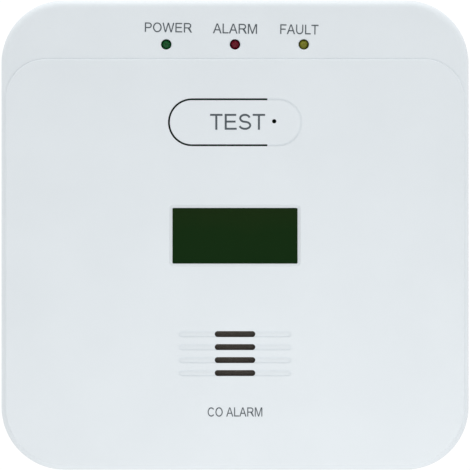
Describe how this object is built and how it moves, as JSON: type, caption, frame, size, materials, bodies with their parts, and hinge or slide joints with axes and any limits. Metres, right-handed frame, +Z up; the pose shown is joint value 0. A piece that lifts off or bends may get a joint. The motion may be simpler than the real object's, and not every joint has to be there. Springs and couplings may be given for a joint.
{
  "type": "carbon monoxide detector",
  "caption": "Square wall-mounted gas alarm with a display, sounder slots, indicator lamps and a press-to-test tongue, hooked on a wall plate.",
  "frame": {"origin": "on the wall, at the centre of the case's width and height, on the wall plate's back face", "axes": "+X to the right seen from the room, +Z up, +Y into the wall, so the face looks along -Y"},
  "size_m": [0.12, 0.0374, 0.1206],
  "materials": {
    "case_plastic": "fine satin white moulding",
    "black_plastic": "plain black moulding",
    "window": "dark polished window",
    "lcd": "dark liquid-crystal cell",
    "light_guide": "clear acrylic",
    "elastomer": "layered conductive rubber",
    "led_green": "tinted green resin",
    "led_red": "tinted red resin",
    "led_yellow": "tinted yellow resin",
    "nickel": "nickel-plated",
    "screw_steel": "zinc-plated",
    "brass": "rolled brass",
    "ceramic": "fired ceramic",
    "wire": "insulated wire",
    "foam": "closed-cell foam",
    "felt": "brown felt",
    "cell_sleeve": "printed sleeve",
    "board": "green solder mask"
  },
  "bodies": {
    "wall_plate": {"wall_plate": "case_plastic"},
    "housing": {"rear_cover": "case_plastic", "front_cover": "case_plastic", "battery_upper": "cell_sleeve", "battery_lower": "cell_sleeve", "battery_spring_upper": "nickel", "battery_spring_lower": "nickel", "contact_negative": "nickel", "contact_positive": "nickel", "contact_bridge": "nickel", "switch_body": "black_plastic", "switch_plate": "nickel", "circuit_board": "board", "led_green": "led_green", "led_red": "led_red", "led_yellow": "led_yellow", "led_leads": "nickel", "led_holder": "black_plastic", "lcd_window": "window", "lcd_glass": "lcd", "lcd_frame": "black_plastic", "lcd_strips": "elastomer", "lcd_backlight": "light_guide", "sounder_case": "black_plastic", "sounder_lid": "black_plastic", "piezo_disc": "brass", "piezo_ceramic": "ceramic", "sounder_leads": "wire", "sounder_seal": "foam", "dust_screen": "felt", "sensor_base": "black_plastic", "sensor_can": "nickel", "sensor_filter": "felt", "sensor_cell": "ceramic", "sensor_pins": "nickel", "microcontroller": "black_plastic", "microcontroller_leads": "nickel", "driver_chip": "black_plastic", "capacitor": "cell_sleeve", "horn_coil": "black_plastic", "crystal": "nickel", "chip_resistors": "black_plastic", "housing_screws": "screw_steel", "board_screws": "screw_steel"},
    "battery_door": {"battery_door": "case_plastic", "door_pad": "foam"},
    "test_button": {"test_button": "case_plastic"},
    "switch_plunger": {"switch_plunger": "black_plastic"}
  },
  "joints": [
    {"name": "unhook", "type": "slide", "parent": "wall_plate", "child": "housing", "axis": [0, 0, 1], "range_m": [0, 0.005]},
    {"name": "button_press", "type": "hinge", "parent": "housing", "child": "test_button", "pos_m": [0.0083, -0.0366, 0.0289], "axis": [0, 0, -1], "range_deg": [0, 1.6], "stiffness_Nm_per_rad": 1.3},
    {"name": "switch_press", "type": "slide", "parent": "housing", "child": "switch_plunger", "axis": [0, 1, 0], "range_m": [0, 0.00056]},
    {"name": "battery_door", "type": "hinge", "parent": "housing", "child": "battery_door", "pos_m": [0, -0.0029, -0.0509], "axis": [-1, 0, 0], "range_deg": [0, 95]}
  ],
  "couplings": [
    {"joint": "switch_press", "follows": "button_press", "m_per_rad": 0.018}
  ]
}
